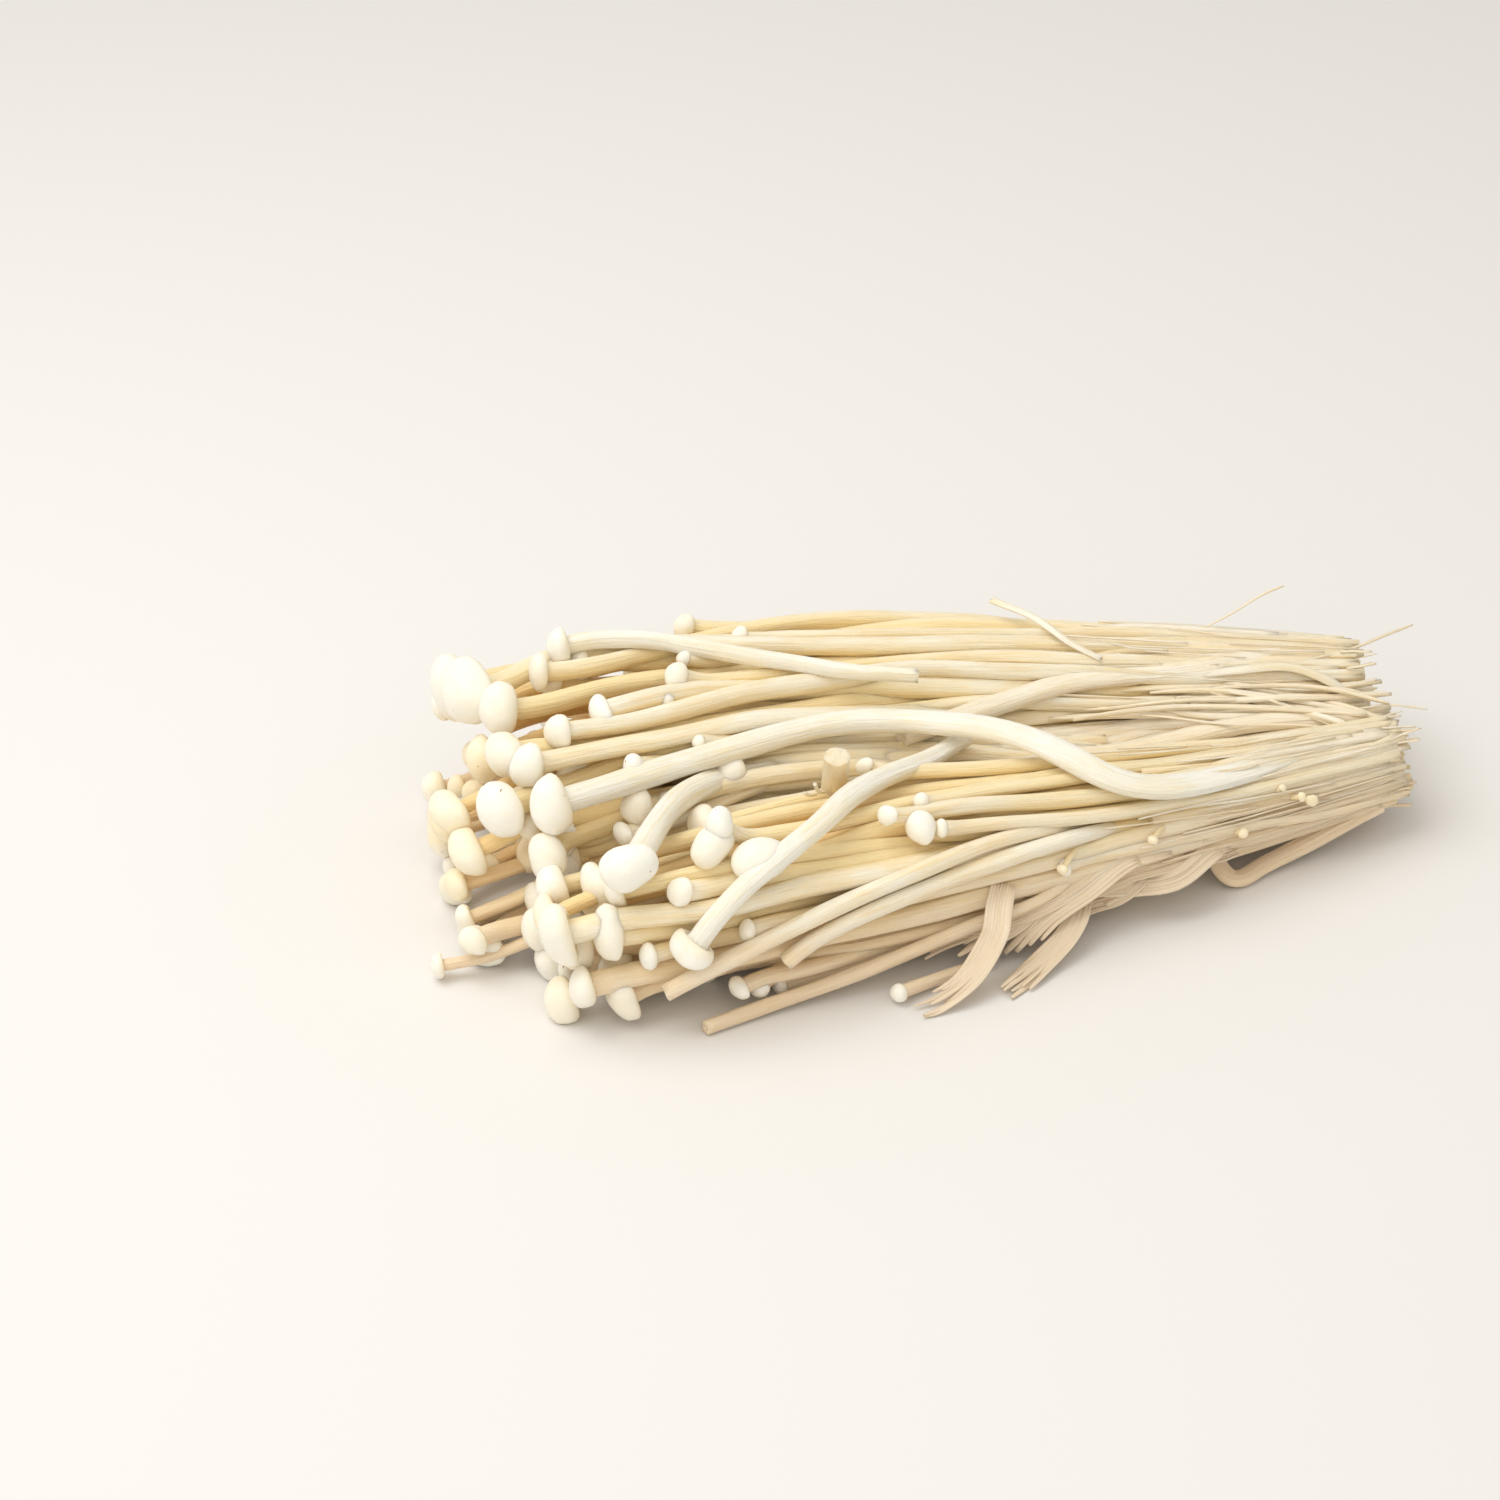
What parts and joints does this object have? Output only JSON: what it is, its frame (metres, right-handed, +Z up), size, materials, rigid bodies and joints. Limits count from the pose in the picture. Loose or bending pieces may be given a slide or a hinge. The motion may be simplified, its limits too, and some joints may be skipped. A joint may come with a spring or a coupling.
{
  "type": "enoki mushroom bunch",
  "caption": "Bunch of enoki mushrooms lying on its side: long thin pale stems in lobes that cling together, small button caps at one end and a straight cut at the other.",
  "frame": {"origin": "middle of the small flat under the bunch, on the surface that it lies on", "axes": "+X along the stems towards the cut ends, with the caps towards -X; +Y across the bunch; +Z up"},
  "size_m": [0.1385, 0.0806, 0.0353],
  "materials": {
    "flesh": "smooth moist mushroom flesh, satin, white caps and cream stems",
    "loose_flesh": "smooth moist mushroom flesh, satin, paler",
    "torn_flesh": "torn fibrous mushroom flesh, slightly see-through"
  },
  "bodies": {
    "root": {"mushroom_bunch": "flesh", "loose_mushroom_1": "loose_flesh", "loose_mushroom_2": "loose_flesh", "loose_mushroom_3": "loose_flesh", "loose_mushroom_4": "loose_flesh", "loose_mushroom_5": "loose_flesh", "broken_stem": "torn_flesh", "bent_stem": "torn_flesh", "torn_strand_1": "torn_flesh", "torn_strand_2": "torn_flesh"}
  },
  "joints": []
}
